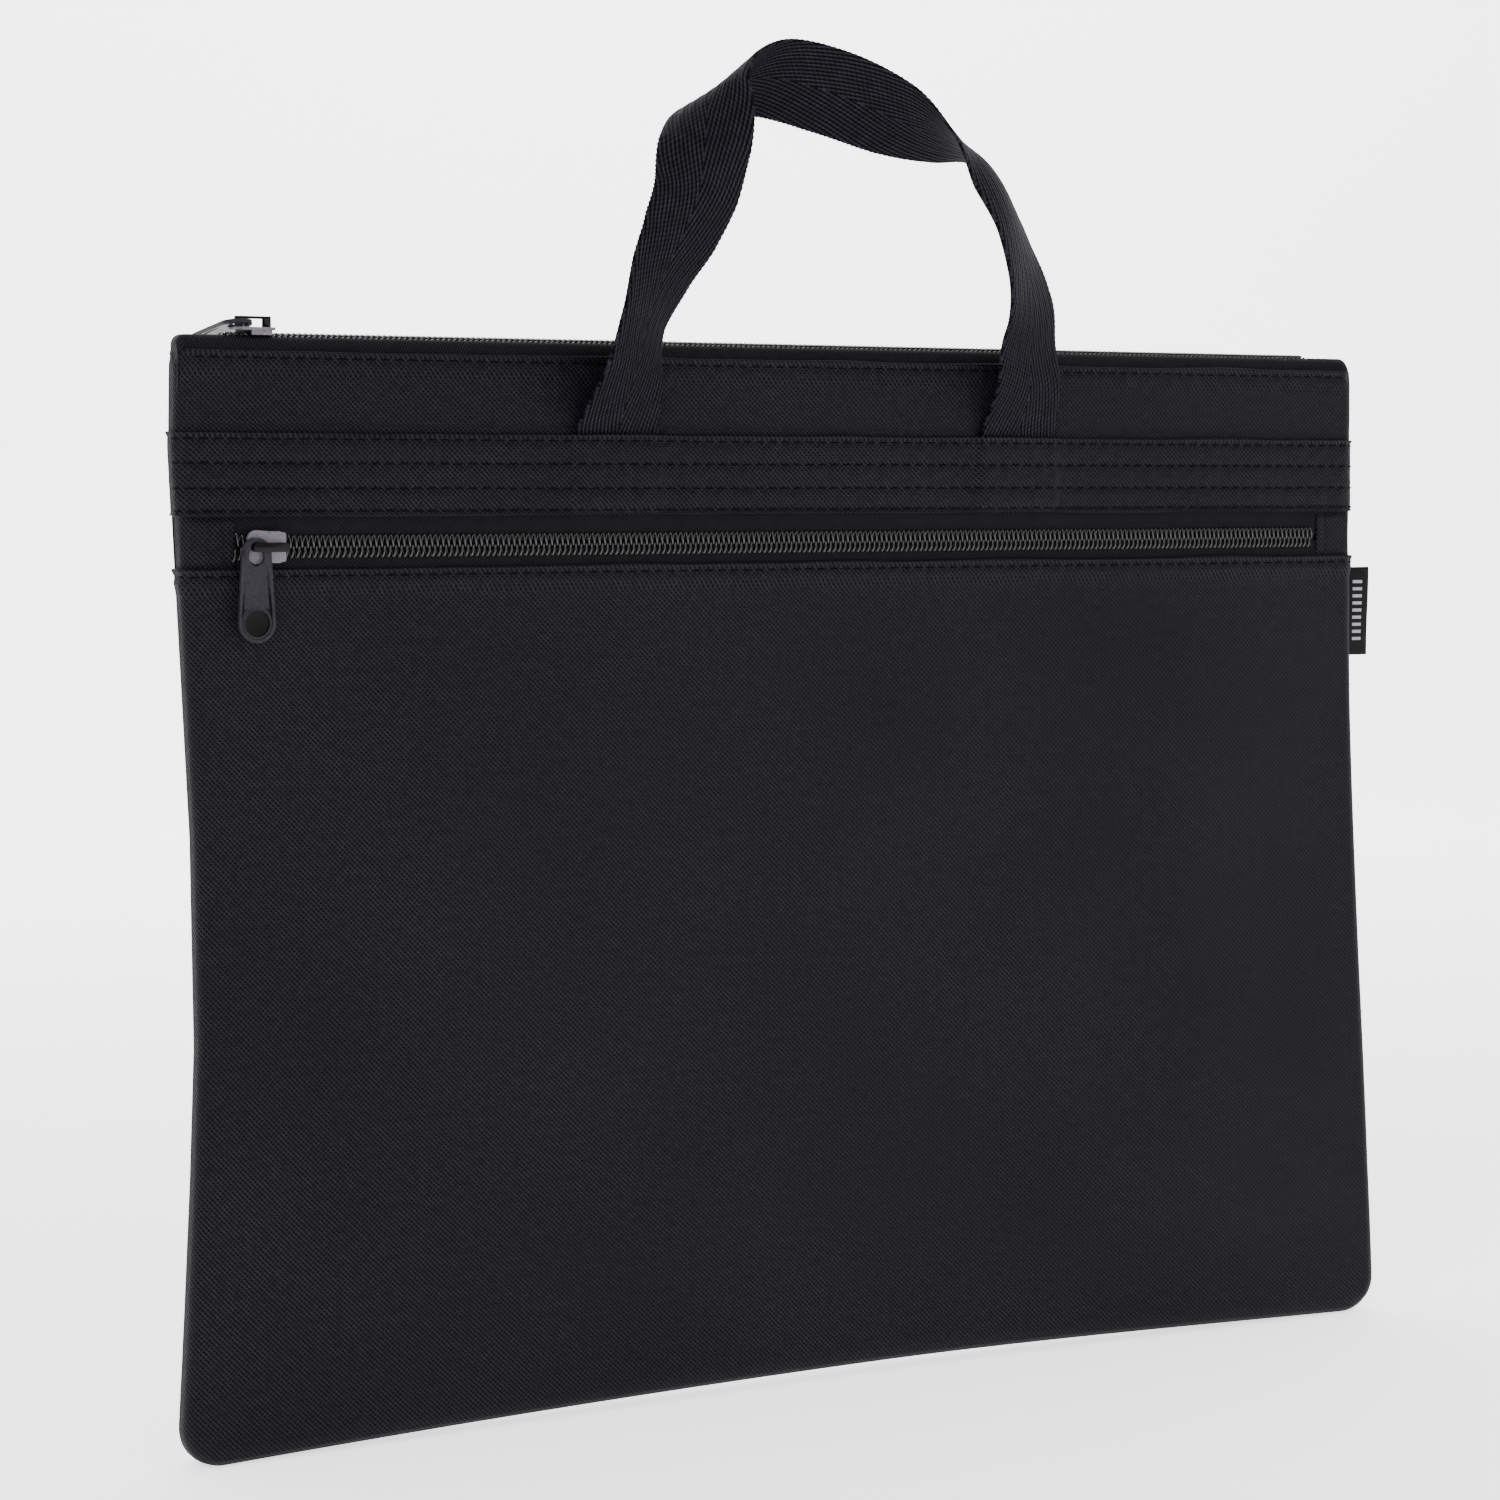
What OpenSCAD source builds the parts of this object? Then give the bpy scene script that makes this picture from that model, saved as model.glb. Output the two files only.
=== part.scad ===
// Soft portfolio case for loose sheets: black woven fabric, one main zip along the top,
// one zipped front pocket, and a webbing carry handle sewn under a band.
// Millimetres. X to the right, Y to the back, Z up. The origin is the middle of the base.

/* [Case] */
// Width across the side seams
case_width = 380; // [300:1:460]
// Height from the base to the top hems
case_height = 290; // [230:1:360]
// Depth over the two outer faces
case_depth = 14; // [13:0.5:20]
// Thickness of the outer fabric
fabric = 0.8; // [0.6:0.1:1]
// Radius where a face turns into the side wall
edge_radius = 4; // [3:0.5:5]
// Radius of the two bottom corners, seen from the front
bottom_corner = 16; // [10:1:30]
// Radius of the two top corners, seen from the front
top_corner = 5; // [2:0.5:8]
// Height of the turned-in hem along the top
hem_height = 12; // [8:1:16]
// Width of the seam allowance inside the case
allowance = 8.5; // [6:0.5:11]

/* [Front pocket] */
// Height of the pocket's top hem
pocket_top = 234; // [150:1:245]
// Middle of the pocket's zip
pocket_zip_z = 239.5; // [155:0.5:252]
// Thickness of the divider between the pocket and the main compartment
divider = 0.6; // [0.4:0.1:0.8]

/* [Handle band] */
// Lower edge of the band
band_bottom = 247.5; // [160:0.5:262]
// Width of the band
band_width = 21.5; // [18:0.5:30]

/* [Zips] */
// Width of the closed chain of both coils
chain_width = 6.4; // [5.8:0.1:7.2]
// Height of the coil on its tape
coil_height = 1.7; // [1.4:0.1:2]
// Gap between the two coils, where the slider's bridge runs
coil_gap = 1.2; // [1:0.1:1.4]
// Thickness of the tape
tape = 0.6; // [0.4:0.1:0.8]
// Length of the fabric end tabs, from the side seam
tab_length = 14.5; // [8:0.5:20]
// Place of both sliders' posts at rest, from the left side seam
slider_inset = 20.7; // [18:0.1:24]

/* [Sliders and pullers] */
// Half width of the slider at its shoulders
shoulder = 4.4; // [4.2:0.1:5]
// Radius of the post that the puller hangs on
post_radius = 1.2; // [0.9:0.1:1.3]
// Distance between the crown's two posts
crown_span = 7.6; // [7:0.1:8.5]
// Length of the puller below its post
puller_length = 24.5; // [18:0.5:32]
// Radius of the puller's round end
puller_end = 5; // [4:0.1:6]
// Thickness of the puller
puller_thickness = 1.1; // [1:0.1:1.5]
// How far the main puller leans down towards the back
main_lean = 8; // [0:1:10]

/* [Handle] */
// Width of the webbing
strap_width = 25; // [20:0.5:30]
// Thickness of the webbing
strap_thickness = 1.4; // [1.2:0.1:1.8]
// Distance from the middle of the handle to each end
handle_reach = 65; // [50:0.5:90]
// Middle of the handle, to the right of the case's middle
handle_middle = 1; // [-5:0.5:5]

/* [Stitches] */
// Length of one stitch
stitch = 5; // [3:0.5:6]
// Distance from one stitch to the next
stitch_pitch = 8; // [6:0.5:12]
// Thickness of the thread
thread = 0.3; // [0.2:0.1:0.4]

/* [Side label] */
// Height of the label's lower edge
label_bottom = 203; // [20:1:250]
// Height of the label
label_height = 27; // [15:1:40]
// How far the label stands out of the side seam
label_reach = 9.5; // [4:0.5:10]

/* [Hidden] */
$fn = 64;

half_width = case_width / 2;
half_depth = case_depth / 2;
flat_half = half_width - edge_radius;
band_top = band_bottom + band_width;
seam_gap = 0.05;
flange = 0.7;
binding = 0.6;
divider_y = flange + seam_gap + binding;
hem_fold_y = half_depth - 2 * fabric;
tape_flat_y = hem_fold_y - 1.7;
tape_top = case_height + 3.1;
coil_top = tape_top + coil_height;
pocket_tape_y = -half_depth + fabric;
pocket_coil_face = pocket_tape_y - coil_height;
post_x = -half_width + slider_inset;
plate_low = 0.35;
plate_high = 1.1;
crown_low = 3.3;
crown_high = 4.0;
puller_mid = 2.4;
eye_radius = post_radius + 0.3;
tail_back = -half_depth - 0.1;
tail_front = tail_back - strap_thickness;
pad_half = strap_width / 2 + 1.5;

fabric_color = [0.13, 0.13, 0.14];
lining_color = [0.2, 0.2, 0.21];
tape_color = [0.1, 0.1, 0.11];
coil_color = [0.17, 0.17, 0.18];
strap_color = [0.16, 0.16, 0.17];
metal_color = [0.4, 0.4, 0.42];
crown_color = [0.08, 0.08, 0.09];
label_color = [0.06, 0.06, 0.06];
thread_color = [0.22, 0.22, 0.23];

// Route of the handle's middle line: x, y, z, then two angles for the direction across the
// webbing. Turn goes from 0 at the left foot through 90 at the top to 180 at the right foot,
// and rise lifts the edge that is in front at the top.
ROUTE = [
    [-64, -8.1, 269.4, 0, 0],
    [-63.5, -12, 278, -13, 0],
    [-62.5, -16.5, 288, -28, 0],
    [-60, -17, 300, -34, 0],
    [-55, -17, 313, -20, 0],
    [-50, -18, 324, -5, 0],
    [-46, -19, 335, 5, 0],
    [-43, -18, 348, 25, 5],
    [-35, -12, 362, 45, 35],
    [-18, -8, 368, 75, 50],
    [0, -11, 365, 85, 60],
    [18, -16, 358, 105, 50],
    [31, -21, 350, 120, 20],
    [40, -24, 343, 130, -10],
    [49, -25, 332, 135, -10],
    [56, -24, 319, 140, -10],
    [62, -20, 306, 150, 0],
    [65, -15, 294, 160, 0],
    [67, -12, 282, 172, -5],
    [66, -8.1, 269.4, 180, 0]];

// ---------- shapes that more than one sub-part shares ----------

// Section of the side wall: u inwards from the seam, v from the seam plane to the face.
module wall_section(outset, thick) {
    translate([edge_radius, half_depth - edge_radius]) intersection() {
        difference() {
            circle(edge_radius + outset);
            circle(edge_radius + outset - thick);
        }
        translate([-edge_radius - outset, 0]) square(edge_radius + outset);
    }
    translate([-outset, seam_gap]) square([thick, half_depth - edge_radius - seam_gap]);
}

module allowance_section() {
    translate([fabric / 2, seam_gap]) square([allowance - fabric / 2, flange]);
}

// One straight side wall of the back half, on the left.
module side_wall(low, high, outset = 0) {
    translate([-half_width, 0, low]) linear_extrude(high - low) wall_section(outset, fabric);
}

module both_sides() {
    children();
    mirror([1, 0, 0]) children();
}

module face_plate(low, high, outset = 0) {
    translate([-flat_half, half_depth + outset - fabric, low])
        cube([2 * flat_half, fabric, high - low]);
}

// Lower part of the back half: face, side walls, bottom corners, bottom and allowances.
module tray(high) {
    inner = bottom_corner - edge_radius;
    translate([0, half_depth, 0]) rotate([90, 0, 0]) linear_extrude(fabric) union() {
        translate([-flat_half, bottom_corner]) square([2 * flat_half, high - bottom_corner]);
        translate([-flat_half + inner, edge_radius]) square([2 * (flat_half - inner), inner]);
        for (s = [-1, 1]) translate([s * (flat_half - inner), bottom_corner]) circle(inner);
    }
    both_sides() {
        side_wall(bottom_corner, high);
        translate([half_width - bottom_corner, 0, bottom_corner]) rotate([-90, 0, 0])
            rotate_extrude(angle = 90) translate([bottom_corner, 0]) mirror([1, 0])
            wall_section(0, fabric);
        translate([-half_width, 0, bottom_corner + 4])
            linear_extrude(high - bottom_corner - 10) allowance_section();
    }
    translate([-half_width + bottom_corner, 0, 0]) rotate([90, 0, 90])
        linear_extrude(case_width - 2 * bottom_corner) mirror([1, -1])
        union() { wall_section(0, fabric); allowance_section(); }
}

module top_corner_cut() {
    both_sides() difference() {
        translate([-half_width - 2, -half_depth - 2, case_height - top_corner])
            cube([top_corner + 2, case_depth + 4, top_corner + 1]);
        translate([-half_width + top_corner, -half_depth - 3, case_height - top_corner])
            rotate([-90, 0, 0]) cylinder(h = case_depth + 6, r = top_corner);
    }
}

module hem_fold() {
    translate([-flat_half, hem_fold_y, case_height - hem_height])
        cube([2 * flat_half, fabric, hem_height]);
}

// U-shaped tape folded over the raw edges, from the seam plane inwards.
module binding_section() {
    difference() {
        translate([3, -divider_y]) square([allowance + binding - 3, 2 * divider_y]);
        translate([2, -divider_y + binding]) square([allowance - 2, 2 * (divider_y - binding)]);
    }
}

// Zip tape on the back side of the main zip: sewn to the hem, then turned in under the coil.
module main_tape() {
    translate([-half_width + 3, 0, 0]) rotate([90, 0, 90]) linear_extrude(case_width - 6) polygon([
        [coil_gap / 2, tape_top], [tape_flat_y, tape_top], [hem_fold_y, tape_top - 1.8],
        [hem_fold_y, case_height - hem_height], [hem_fold_y - tape, case_height - hem_height],
        [hem_fold_y - tape, tape_top - 2.05], [tape_flat_y - 0.25, tape_top - tape],
        [coil_gap / 2, tape_top - tape]]);
}

// One coil lying on its tape, as a bar with rounded long edges: across y, up z.
module coil_bar() {
    wide = (chain_width - coil_gap) / 2;
    round_r = 0.7;
    translate([-half_width + tab_length + 0.1, 0, 0]) rotate([90, 0, 90])
        linear_extrude(case_width - 2 * tab_length - 0.2) union() {
            translate([coil_gap / 2, 0]) square([wide, coil_height - round_r]);
            translate([coil_gap / 2 + round_r, 0]) square([wide - 2 * round_r, coil_height]);
            for (u = [round_r, wide - round_r])
                translate([coil_gap / 2 + u, coil_height - round_r]) circle(round_r);
        }
}

// Fabric tab folded over the end of the main zip.
module main_end_tab() {
    translate([-half_width + 3, 0, 0]) rotate([90, 0, 90]) linear_extrude(tab_length - 3) polygon([
        for (s = [-1, 1], p = s < 0
            ? [[-hem_fold_y, 0], [-hem_fold_y - 0.8, 0], [-hem_fold_y - 0.8, 1.6],
               [-tape_flat_y - 0.2, 3.9]]
            : [[tape_flat_y + 0.2, 3.9], [hem_fold_y + 0.8, 1.6], [hem_fold_y + 0.8, 0],
               [hem_fold_y, 0], [hem_fold_y, 1.3], [tape_flat_y, 3.1],
               [-tape_flat_y, 3.1], [-hem_fold_y, 1.3]])
            p + [0, case_height]]);
}

// Fabric tab over the end of the pocket zip, wrapped round the case's side.
module pocket_end_tab() {
    mirror([0, 1, 0]) {
        side_wall(pocket_top + 0.1, band_bottom - 0.1);
        translate([-flat_half, half_depth - fabric, pocket_top + 0.1])
            cube([tab_length - edge_radius, fabric, band_bottom - pocket_top - 0.2]);
    }
}

// Slider in its own frame: x along the chain from the post, z away from the coils.
module slider_plate(low, high, half) {
    translate([0, 0, low]) linear_extrude(high - low) hull() {
        for (s = [-1, 1]) {
            translate([0.6, s * (half - 2.4)]) circle(2.4);
            translate([crown_span + 0.6, s * (half - 1.2)]) circle(0.6);
        }
    }
}

module slider_body() {
    wide = chain_width / 2 + 0.35;
    slider_plate(plate_low, plate_high, shoulder);
    slider_plate(-coil_height - tape - 1.5, -coil_height - tape - 0.4, shoulder - 0.9);
    for (s = [-1, 1]) translate([2, s > 0 ? wide : -shoulder + 0.3, -0.9])
        cube([crown_span - 2, shoulder - 0.3 - wide, 0.9 + plate_low + 0.1]);
    translate([-0.9, -0.35, -coil_height - tape - 0.5])
        cube([2.4, 0.7, coil_height + tape + 0.5 + plate_low + 0.1]);
}

module slider_crown() {
    for (x = [0, crown_span]) translate([x, 0, plate_high])
        cylinder(h = crown_high - plate_high - 0.2, r = post_radius);
    translate([0, 0, crown_low]) {
        for (x = [0, crown_span]) translate([x, 0, 0])
            cylinder(h = crown_high - crown_low, r = post_radius);
        translate([0, -post_radius, 0])
            cube([crown_span, 2 * post_radius, crown_high - crown_low]);
    }
}

// Round-ended shape between a circle at high and a larger or smaller one at low, along y.
module round_ended(high, high_r, low, low_r) {
    ny = (low_r - high_r) / (high - low);
    nx = sqrt(1 - ny * ny);
    translate([0, high]) circle(high_r);
    translate([0, low]) circle(low_r);
    polygon([[-high_r * nx, high + high_r * ny], [high_r * nx, high + high_r * ny],
        [low_r * nx, low + low_r * ny], [-low_r * nx, low + low_r * ny]]);
}

// Puller in the slider's frame, lying flat and pointing to -y, with its eye round the post.
module puller() {
    low = puller_end - puller_length;
    rim = 0.8;
    translate([0, 0, -puller_thickness / 2]) difference() {
        linear_extrude(puller_thickness) difference() {
            round_ended(-1.5, 4, low, puller_end);
            round_ended(0, eye_radius, -2.6, 2.15);
        }
        translate([0, 0, puller_thickness - 0.25]) linear_extrude(1) difference() {
            round_ended(-6.5, 4 - rim, low, puller_end - rim);
            translate([0, low]) circle(3.8);
        }
        translate([0, low, puller_thickness - 0.5]) cylinder(h = 1, r = 3.4);
    }
}

module at_main_post() { translate([post_x, 0, coil_top]) children(); }
module at_pocket_post() {
    translate([post_x, pocket_coil_face, pocket_zip_z]) rotate([90, 0, 0]) children();
}

// Smooth curve through the rows of the route.
function row(i) = ROUTE[max(0, min(len(ROUTE) - 1, i))];
function smooth(i, t) = 0.5 * (2 * row(i) + t * (row(i + 1) - row(i - 1))
    + t * t * (2 * row(i - 1) - 5 * row(i) + 4 * row(i + 1) - row(i + 2))
    + t * t * t * (3 * row(i) - row(i - 1) - 3 * row(i + 1) + row(i + 2)));
function place(q) = [q[0], q[1], q[2]];
function across_dir(q) = [cos(q[3]) * cos(q[4]), -sin(q[3]) * cos(q[4]), sin(q[4])];
function unit(v) = v / norm(v);

module strap_loop() {
    steps = 5;
    rows = concat([for (i = [0 : len(ROUTE) - 2], j = [0 : steps - 1]) smooth(i, j / steps)],
        [smooth(len(ROUTE) - 2, 1)]);
    last = len(rows) - 1;
    corners = [for (n = [0 : last])
        let (mid = place(rows[n]),
            before = place(rows[max(n - 1, 0)]), after = place(rows[min(n + 1, last)]),
            along = n == 0 ? [0, 0, 1] : n == last ? [0, 0, -1] : unit(after - before),
            raw = across_dir(rows[n]),
            across = unit(raw - along * (raw * along)),
            w = across * strap_width / 2, h = cross(along, across) * strap_thickness / 2)
        each [mid - w - h, mid + w - h, mid + w + h, mid - w + h]];
    sides = [for (n = [0 : last - 1], c = [0 : 3])
        let (a = 4 * n + c, b = 4 * n + (c + 1) % 4)
        each [[a, a + 4, b + 4], [a, b + 4, b]]];
    polyhedron(points = corners,
        faces = concat([[0, 1, 2, 3]], sides, [[for (c = [3 : -1 : 0]) 4 * last + c]]));
}

// One row of stitches along x on a face that looks to -y; raised where the face is raised.
module stitch_row(z, face, raised) {
    count = floor((flat_half - 4) / stitch_pitch);
    for (i = [-count : count]) {
        x = i * stitch_pitch;
        off_pad = abs(abs(x - handle_middle) - handle_reach);
        over_pad = off_pad < pad_half - stitch / 2;
        beside_pad = !over_pad && off_pad < pad_half + stitch / 2 + 0.1;
        if (raised == face || !beside_pad)
            translate([x - stitch / 2, (over_pad ? raised : face) - thread, z - 0.3])
                cube([stitch, thread, 0.6]);
    }
}

// ---------- sub-parts ----------

module front_panel() color(fabric_color) difference() {
    mirror([0, 1, 0]) {
        face_plate(band_bottom, case_height);
        both_sides() side_wall(band_bottom, case_height);
        hem_fold();
    }
    top_corner_cut();
}

module back_panel() color(fabric_color) difference() {
    union() {
        tray(case_height);
        hem_fold();
    }
    top_corner_cut();
}

module pocket_panel() color(fabric_color) mirror([0, 1, 0]) tray(pocket_top);

module pocket_divider() color(lining_color) translate([-flat_half + 0.2, 0, 0]) rotate([90, 0, 90])
    linear_extrude(2 * flat_half - 0.4) polygon([
        [-divider_y, bottom_corner], [-divider_y, 252],
        [pocket_tape_y + divider + tape, 262], [pocket_tape_y, 262], [pocket_tape_y, 258],
        [-divider_y - divider, 250], [-divider_y - divider, bottom_corner]]);

module binding_left() color(lining_color) translate([-half_width, 0, bottom_corner + 4])
    linear_extrude(pocket_top - bottom_corner - 10) binding_section();

module binding_right() color(lining_color) mirror([1, 0, 0])
    translate([-half_width, 0, bottom_corner + 4])
    linear_extrude(pocket_top - bottom_corner - 10) binding_section();

module binding_bottom() color(lining_color)
    translate([-half_width + bottom_corner, 0, 0]) rotate([90, 0, 90])
    linear_extrude(case_width - 2 * bottom_corner) mirror([1, -1]) binding_section();

module handle_band() color(fabric_color) difference() {
    union() {
        mirror([0, 1, 0]) {
            face_plate(band_bottom, band_top, fabric);
            both_sides() side_wall(band_bottom, band_top, fabric);
        }
        for (s = [-1, 1])
            translate([handle_middle + s * handle_reach - pad_half, tail_front - fabric, band_bottom])
            cube([2 * pad_half, -half_depth - tail_front + fabric, band_width]);
    }
    for (s = [-1, 1])
        translate([handle_middle + s * handle_reach - strap_width / 2 - 0.1, tail_front, band_bottom + 2])
        cube([strap_width + 0.2, -half_depth - tail_front, band_width]);
}

module handle_tail(s) color(strap_color)
    translate([handle_middle + s * handle_reach - strap_width / 2, tail_front, band_bottom + 2])
        cube([strap_width, strap_thickness, band_width - 2]);
module handle_tail_left() handle_tail(-1);
module handle_tail_right() handle_tail(1);

module handle_loop() color(strap_color) strap_loop();

module main_tape_front() color(tape_color) mirror([0, 1, 0]) main_tape();
module main_tape_back() color(tape_color) main_tape();
module main_coil_front() color(coil_color) mirror([0, 1, 0]) translate([0, 0, tape_top]) coil_bar();
module main_coil_back() color(coil_color) translate([0, 0, tape_top]) coil_bar();
module main_end_tab_left() color(fabric_color) main_end_tab();
module main_end_tab_right() color(fabric_color) mirror([1, 0, 0]) main_end_tab();

module main_slider_body() color(metal_color) at_main_post() slider_body();
module main_slider_crown() color(crown_color) at_main_post() slider_crown();
module main_puller() color(metal_color) at_main_post()
    translate([0, 0, puller_mid]) rotate([-main_lean, 0, 0]) rotate([0, 0, 180]) puller();

module pocket_tape_upper() color(tape_color)
    translate([-flat_half, pocket_tape_y, pocket_zip_z + coil_gap / 2])
        cube([2 * flat_half, tape, 16]);
module pocket_tape_lower() color(tape_color)
    translate([-flat_half, pocket_tape_y, pocket_zip_z - coil_gap / 2 - 13])
        cube([2 * flat_half, tape, 13]);
module pocket_coil_upper() color(coil_color)
    translate([0, pocket_tape_y, pocket_zip_z]) rotate([90, 0, 0]) coil_bar();
module pocket_coil_lower() color(coil_color)
    translate([0, pocket_tape_y, pocket_zip_z]) mirror([0, 0, 1]) rotate([90, 0, 0]) coil_bar();
module pocket_end_tab_left() color(fabric_color) pocket_end_tab();
module pocket_end_tab_right() color(fabric_color) mirror([1, 0, 0]) pocket_end_tab();

module pocket_slider_body() color(metal_color) at_pocket_post() slider_body();
module pocket_slider_crown() color(crown_color) at_pocket_post() slider_crown();
module pocket_puller() color(metal_color) at_pocket_post() translate([0, 0, puller_mid]) puller();

module side_label() color(label_color) translate([half_width, 0, label_bottom])
    linear_extrude(label_height) union() {
        translate([0.02, -0.4]) square([label_reach - 0.4, 0.8]);
        translate([label_reach - 0.4, 0]) circle(0.4);
    }

module hem_stitches() color(thread_color) {
    stitch_row(case_height - 2.5, -half_depth, -half_depth);
    mirror([0, 1, 0]) stitch_row(case_height - 2.5, -half_depth, -half_depth);
}
module band_stitches() color(thread_color)
    for (z = [band_top - 2, band_top - 8, band_bottom + 7, band_bottom + 1])
        stitch_row(z, -half_depth - fabric, tail_front - fabric);
module pocket_stitches() color(thread_color)
    stitch_row(pocket_top - 2.2, -half_depth, -half_depth);

front_panel();
back_panel();
pocket_panel();
pocket_divider();
binding_left();
binding_right();
binding_bottom();
handle_band();
handle_tail_left();
handle_tail_right();
handle_loop();
main_tape_front();
main_tape_back();
main_coil_front();
main_coil_back();
main_end_tab_left();
main_end_tab_right();
main_slider_body();
main_slider_crown();
main_puller();
pocket_tape_upper();
pocket_tape_lower();
pocket_coil_upper();
pocket_coil_lower();
pocket_end_tab_left();
pocket_end_tab_right();
pocket_slider_body();
pocket_slider_crown();
pocket_puller();
side_label();
hem_stitches();
band_stitches();
pocket_stitches();
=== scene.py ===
"""Looks of the portfolio case: soft fabric, zips, webbing handle and painted sliders around the CAD frame."""

import math

import bpy
import numpy as np
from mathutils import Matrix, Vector, noise


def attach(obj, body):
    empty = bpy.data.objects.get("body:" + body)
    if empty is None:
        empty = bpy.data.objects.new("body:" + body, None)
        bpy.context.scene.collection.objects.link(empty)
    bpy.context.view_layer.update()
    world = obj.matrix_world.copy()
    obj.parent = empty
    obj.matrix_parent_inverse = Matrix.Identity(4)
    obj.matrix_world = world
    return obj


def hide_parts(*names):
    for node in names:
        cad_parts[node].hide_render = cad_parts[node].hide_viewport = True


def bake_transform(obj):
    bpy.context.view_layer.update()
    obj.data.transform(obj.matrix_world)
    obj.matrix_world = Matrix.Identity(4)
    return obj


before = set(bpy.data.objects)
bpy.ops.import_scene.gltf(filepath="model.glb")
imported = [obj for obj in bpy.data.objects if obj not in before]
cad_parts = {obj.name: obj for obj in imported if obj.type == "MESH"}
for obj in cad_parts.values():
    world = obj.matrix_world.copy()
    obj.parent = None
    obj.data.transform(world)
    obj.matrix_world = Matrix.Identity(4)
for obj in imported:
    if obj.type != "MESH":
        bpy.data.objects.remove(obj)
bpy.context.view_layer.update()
MM = 0.001

# ---------------------------------------------------------------- sizes, millimetres
FACE_Y = 7.0            # outer face from the mid plane
SIDE_X = 190.0          # side of the case
EDGE_ROUND = 4.0        # face to side
SEAM_ROUND = 0.5        # side to seam
ALLOWANCE = 5.0         # seam allowance inside
CORNER = 11.0           # bottom corners
TOP_Z = 290.0           # folded top edges of the panels
POCKET_TOP = 234.0      # folded top edge of the pocket
BAND_LOW, BAND_HIGH = 247.5, 269.0
ZIP_Z = 239.5           # middle of the pocket zip
ZIP_END = 175.4         # where the coils end, from the middle
TAB_START = 175.5       # inner edge of the end tabs, from the middle
CLOTH = 0.75            # thickness of the outer cloth
STITCH = 4.0            # stitch pitch
STITCHED = [288.0, 267.2, 261.0, 254.5, 248.7, 231.9]     # heights of the rows of stitches
PADS = [(-64.0, 14.0), (66.0, 14.0)]    # centre and half width of the raised parts of the band
BAND_LEAST = 0.3        # least height of the band over the front panel
PUCKER, PUCKER_LOW = 0.55, 0.5          # depth of the cloth drawn in at a row, and at the pocket's row
STAND = 0.16            # height of a stitch over the cloth
HEM_WAVE = 0.5          # rise and fall of a folded edge
TWIST, ARCH = 8.0, 3.0  # forward swing of the lower right corner and rise of the lower edge

FLAT_LIMIT = EDGE_ROUND * math.pi / 2
WALL = FACE_Y - EDGE_ROUND - SEAM_ROUND
SEAM_LIMIT = SEAM_ROUND * math.pi / 2
CENTRE_X = SIDE_X - CORNER
U_END = SIDE_X - EDGE_ROUND + FLAT_LIMIT + WALL + SEAM_LIMIT + ALLOWANCE

# how far the left side draws in and the right side swings out, by height
LEFT_IN = ([0, 40, 75, 110, 165, 230, 265, 290], [0, 2.5, 4.5, 6, 5.5, 2.5, 1, 1.5])
RIGHT_OUT = ([0, 45, 110, 190, 290], [8, 6, 4, 2, 0.5])


def smooth(x, low, high):
    """0 below low and 1 above high, turning smoothly in between."""
    t = np.clip((np.asarray(x, float) - low) / (high - low), 0, 1)
    return t * t * (3 - 2 * t)


def hump(x, centre, width):
    """A bell of height 1."""
    return np.exp(-((np.asarray(x, float) - centre) / width) ** 2)


def rough(x, z, size, seed):
    """Smooth noise, about -1 to 1, for arrays of places."""
    flat = zip(np.ravel(x), np.ravel(z))
    values = [noise.noise(Vector((a / size, b / size, seed * 7.3))) for a, b in flat]
    return np.array(values).reshape(np.shape(x))


def warp(p):
    """The slack of the soft case: bowed sides, a narrower back, and a base that arches and swings out."""
    x, y, z = p[..., 0], p[..., 1], p[..., 2]
    x = x - np.sign(x) * 0.6 * np.clip(y, 0, 7) * smooth(np.abs(x), 174, 190)
    reach = np.clip(np.abs(x) / SIDE_X, 0, 1.1) ** 2.5
    left = np.interp(z, *LEFT_IN) * reach * (x < 0)
    right = np.interp(z, *RIGHT_OUT) * reach * (x > 0)
    twist = TWIST * smooth(x, 20, 200) * (1 - smooth(z, 0, 215))
    arch = ARCH * np.clip(1 - (x / 178) ** 2, 0, 1) * (1 - smooth(z, 0, 110))
    return np.stack([x + left + right, y - twist, z + arch], -1)


# ---------------------------------------------------------------- mesh helpers
def mesh_object(name, points, faces, uvs=None):
    """A mesh piece from points in millimetres. uvs has one flat position in millimetres for each point."""
    mesh = bpy.data.meshes.new(name)
    points = np.asarray(points, float).reshape(-1, 3)
    mesh.from_pydata((points * MM).tolist(), [], [tuple(f) for f in faces])
    if uvs is not None:
        uvs = np.asarray(uvs, float).reshape(-1, 2) * MM
        layer = mesh.uv_layers.new(name="flat")
        index = np.zeros(len(mesh.loops), int)
        mesh.loops.foreach_get("vertex_index", index)
        layer.data.foreach_set("uv", uvs[index].astype(np.float32).ravel())
    mesh.polygons.foreach_set("use_smooth", [True] * len(mesh.polygons))
    mesh.update()
    piece = bpy.data.objects.new(name, mesh)
    bpy.context.scene.collection.objects.link(piece)
    return piece


def quads(rows, columns, start=0, turn=False, close=False):
    """Faces of a grid of points; close joins the last column to the first."""
    r = np.arange(rows - 1)[:, None]
    c = np.arange(columns if close else columns - 1)[None, :]
    n = (c + 1) % columns
    a, b = r * columns + c, r * columns + n
    d, e = a + columns, b + columns
    found = np.stack([a, b, e, d], -1).reshape(-1, 4) + start
    return found[:, ::-1] if turn else found


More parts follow.
